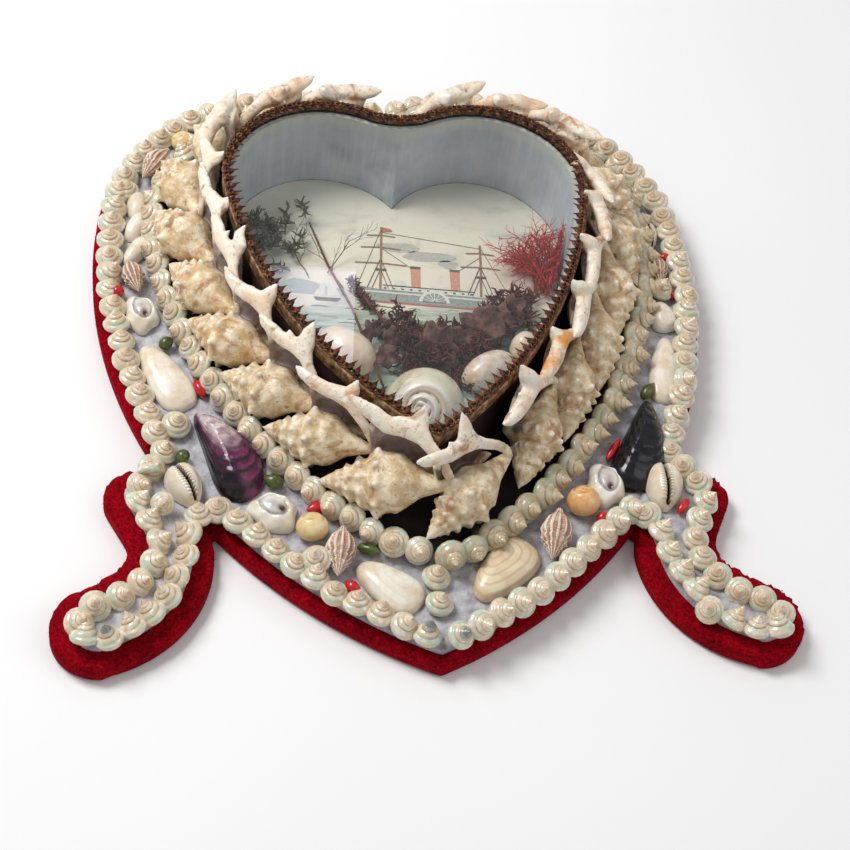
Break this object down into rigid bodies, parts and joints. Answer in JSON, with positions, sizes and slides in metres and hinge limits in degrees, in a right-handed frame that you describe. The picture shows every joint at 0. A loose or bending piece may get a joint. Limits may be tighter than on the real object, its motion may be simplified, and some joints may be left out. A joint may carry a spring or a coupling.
{
  "type": "shellwork heart",
  "caption": "Heart-shaped board on two scroll feet, covered in seashells, with a raised heart-shaped glazed case holding a ship print, shells and seaweed.",
  "frame": {"origin": "on the underside of the base board, on its line of symmetry, 142 mm up from the tip", "axes": "+Z out of the board through the glass, +Y from the tip to the cleft, +X to the right of the picture"},
  "size_m": [0.2754, 0.291, 0.0537],
  "materials": {
    "red_velvet": "deep red velvet pile",
    "shell_cement": "pale grey plaster, rough",
    "case_paper": "dark outside, lined with pale grey-blue paper inside",
    "picture_paper": "faded colour print",
    "pane_glass": "clear flat pane",
    "braid": "dark copper-brown braid",
    "pearl_top_shell": "pearly cream and green",
    "pelican_shell": "cream shell with tan stains",
    "band_shell": "mixed glossy shells"
  },
  "bodies": {
    "root": {"base_board": "red_velvet", "braid_trim": "braid", "case_wall": "case_paper", "edge_row_left": "pearl_top_shell", "edge_row_right": "pearl_top_shell", "glass_pane": "pane_glass", "inner_row_left": "pearl_top_shell", "inner_row_right": "pearl_top_shell", "left_cowrie": "band_shell", "left_mussel": "band_shell", "left_ovals": "band_shell", "left_periwinkle_lower": "band_shell", "left_periwinkle_top": "band_shell", "left_ring_cowrie_lower": "band_shell", "left_ring_cowrie_upper": "band_shell", "left_tellin_lower": "band_shell", "left_tellin_upper": "band_shell", "left_whelk_lower": "band_shell", "left_whelk_top": "band_shell", "left_whelk_upper": "band_shell", "pelican_foot_left_1": "pelican_shell", "pelican_foot_left_10": "pelican_shell", "pelican_foot_left_2": "pelican_shell", "pelican_foot_left_3": "pelican_shell", "pelican_foot_left_4": "pelican_shell", "pelican_foot_left_5": "pelican_shell", "pelican_foot_left_6": "pelican_shell", "pelican_foot_left_7": "pelican_shell", "pelican_foot_left_8": "pelican_shell", "pelican_foot_left_9": "pelican_shell", "pelican_foot_right_1": "pelican_shell", "pelican_foot_right_10": "pelican_shell", "pelican_foot_right_2": "pelican_shell", "pelican_foot_right_3": "pelican_shell", "pelican_foot_right_4": "pelican_shell", "pelican_foot_right_5": "pelican_shell", "pelican_foot_right_6": "pelican_shell", "pelican_foot_right_7": "pelican_shell", "pelican_foot_right_8": "pelican_shell", "pelican_foot_right_9": "pelican_shell", "picture_card": "picture_paper", "right_clam": "band_shell", "right_cowrie_lower": "band_shell", "right_cowrie_upper": "band_shell", "right_mussel": "band_shell", "right_periwinkle_lower": "band_shell", "right_ring_cowrie": "band_shell", "right_ring_cowrie_top": "band_shell", "right_tellin_lower": "band_shell", "right_tellin_upper": "band_shell", "right_whelk_lower": "band_shell", "right_whelk_upper": "band_shell", "shell_bed": "shell_cement", "tip_column": "pearl_top_shell"}
  },
  "joints": []
}
